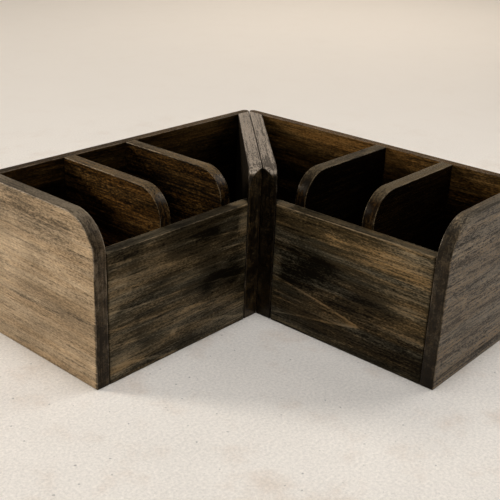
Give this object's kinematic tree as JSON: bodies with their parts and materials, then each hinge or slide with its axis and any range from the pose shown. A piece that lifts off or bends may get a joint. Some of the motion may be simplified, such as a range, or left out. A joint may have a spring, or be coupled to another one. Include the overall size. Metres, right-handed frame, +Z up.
{
  "type": "corner utensil caddy",
  "caption": "Dark-stained timber corner caddy: two mitred open boxes side by side, each split by round-nosed dividers into compartments for cutlery and utensils.",
  "frame": {"origin": "on the table under the middle of the square that the caddy fills", "axes": "+Z up; the left wing runs along X with its back facing +Y, the right wing runs along Y with its back facing +X, and the seam plane holds X = Y"},
  "size_m": [0.347, 0.347, 0.15],
  "materials": {
    "outer_end_panels": "dark stain with a satin wax, rubbed thin on the faces",
    "mitre_end_panels": "dark stain with a satin wax",
    "front_panels": "dark stain with a satin wax",
    "back_panels": "dark stain with a satin wax",
    "dividers": "dark stain with a satin wax",
    "bottom_panels": "dark stain on thin board",
    "dowels": "bare turned beech",
    "splines": "bare plywood strip"
  },
  "bodies": {
    "left_wing": {"left_back_panel": "back_panels", "left_front_panel": "front_panels", "left_outer_end_panel": "outer_end_panels", "left_mitre_end_panel": "mitre_end_panels", "left_bottom_panel": "bottom_panels", "left_inner_divider": "dividers", "left_outer_divider": "dividers", "left_outer_front_dowels": "dowels", "left_outer_back_dowels": "dowels", "left_mitre_front_spline": "splines", "left_mitre_back_spline": "splines"},
    "right_wing": {"right_back_panel": "back_panels", "right_front_panel": "front_panels", "right_outer_end_panel": "outer_end_panels", "right_mitre_end_panel": "mitre_end_panels", "right_bottom_panel": "bottom_panels", "right_inner_divider": "dividers", "right_outer_divider": "dividers", "right_outer_front_dowels": "dowels", "right_outer_back_dowels": "dowels", "right_mitre_front_spline": "splines", "right_mitre_back_spline": "splines"}
  },
  "joints": [
    {"name": "right_wing_parting", "type": "slide", "parent": "left_wing", "child": "right_wing", "axis": [0.7071, -0.7071, 0], "range_m": [0, 0.15]}
  ]
}
